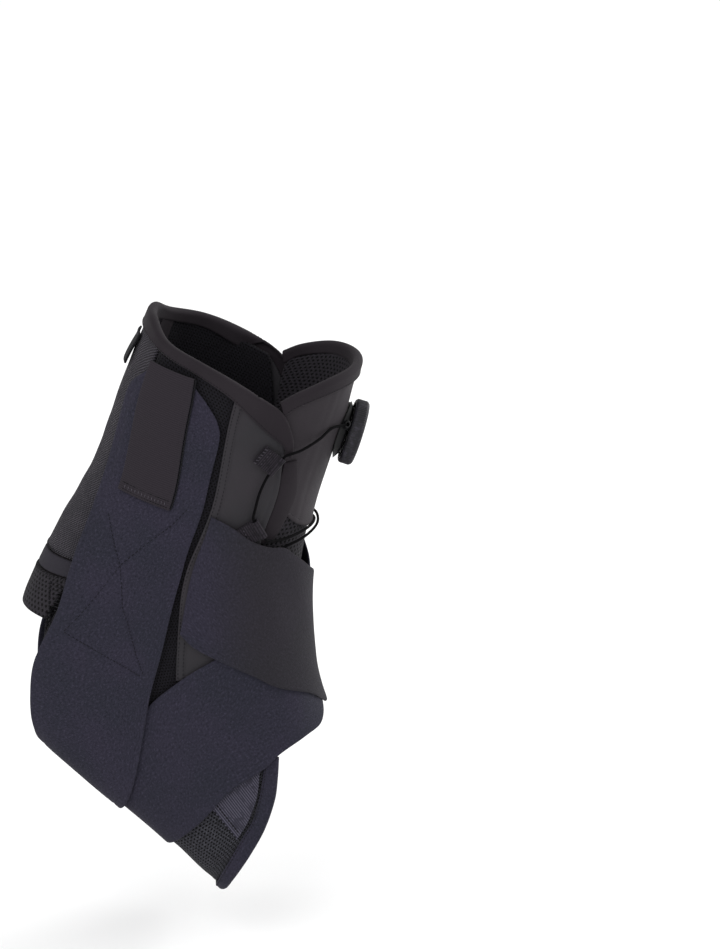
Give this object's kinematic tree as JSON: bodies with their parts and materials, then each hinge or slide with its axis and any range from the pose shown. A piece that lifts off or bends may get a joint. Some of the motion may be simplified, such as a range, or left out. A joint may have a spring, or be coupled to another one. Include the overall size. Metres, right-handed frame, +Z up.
{
  "type": "ankle brace",
  "caption": "Worn ankle brace: knitted shell and tongue tightened by a dial and lace, with crossed instep straps and a strap under the heel.",
  "frame": {"origin": "centre of the ankle joint, inside the hollow for the leg", "axes": "+Z up, +X toward the toes, -Y toward the outer side of the ankle"},
  "size_m": [0.1543, 0.0908, 0.2657],
  "materials": {
    "shell_mesh": "matt knitted spacer mesh",
    "panel_cloth": "matt bonded cloth",
    "ribbed_elastic": "matt ribbed elastic",
    "tab_webbing": "matt ribbed webbing",
    "tongue_cloth": "smooth matt bonded cloth",
    "binding_tape": "matt tape",
    "strap_cloth": "brushed matt loop cloth",
    "lace_cord": "satin coated cord",
    "dial_body": "satin moulded plastic",
    "dial_cap": "satin moulded plastic"
  },
  "bodies": {
    "brace": {"shell_lateral": "shell_mesh", "shell_medial": "shell_mesh", "heel_panel": "shell_mesh", "heel_mesh": "shell_mesh", "sole_panel": "shell_mesh", "tongue_base": "shell_mesh", "front_panel_lateral": "panel_cloth", "front_panel_medial": "panel_cloth", "heel_band": "panel_cloth", "lace_guide_upper_lateral": "panel_cloth", "lace_guide_upper_medial": "panel_cloth", "lace_guide_middle_lateral": "panel_cloth", "lace_guide_middle_medial": "panel_cloth", "lace_guide_lower_lateral": "panel_cloth", "lace_guide_lower_medial": "panel_cloth", "gusset_lateral": "ribbed_elastic", "gusset_medial": "ribbed_elastic", "hook_tab_lateral": "tab_webbing", "hook_tab_medial": "tab_webbing", "pull_tab": "tab_webbing", "tongue_pad": "tongue_cloth", "tongue_binding": "binding_tape", "top_binding": "binding_tape", "foot_binding": "strap_cloth", "instep_strap_over": "strap_cloth", "instep_strap_under": "strap_cloth", "stirrup_strap": "strap_cloth", "lace": "lace_cord", "dial_base": "dial_body"},
    "ratchet": {"dial_ratchet": "dial_body"},
    "knob": {"dial_knob": "dial_cap"}
  },
  "joints": [
    {"name": "dial_turn", "type": "hinge", "parent": "brace", "child": "ratchet", "pos_m": [0.07713, 0, 0.08427], "axis": [0.951, 0, -0.3092], "continuous": true},
    {"name": "dial_pull", "type": "slide", "parent": "ratchet", "child": "knob", "axis": [0.951, 0, -0.3092], "range_m": [0, 0.0025]}
  ]
}
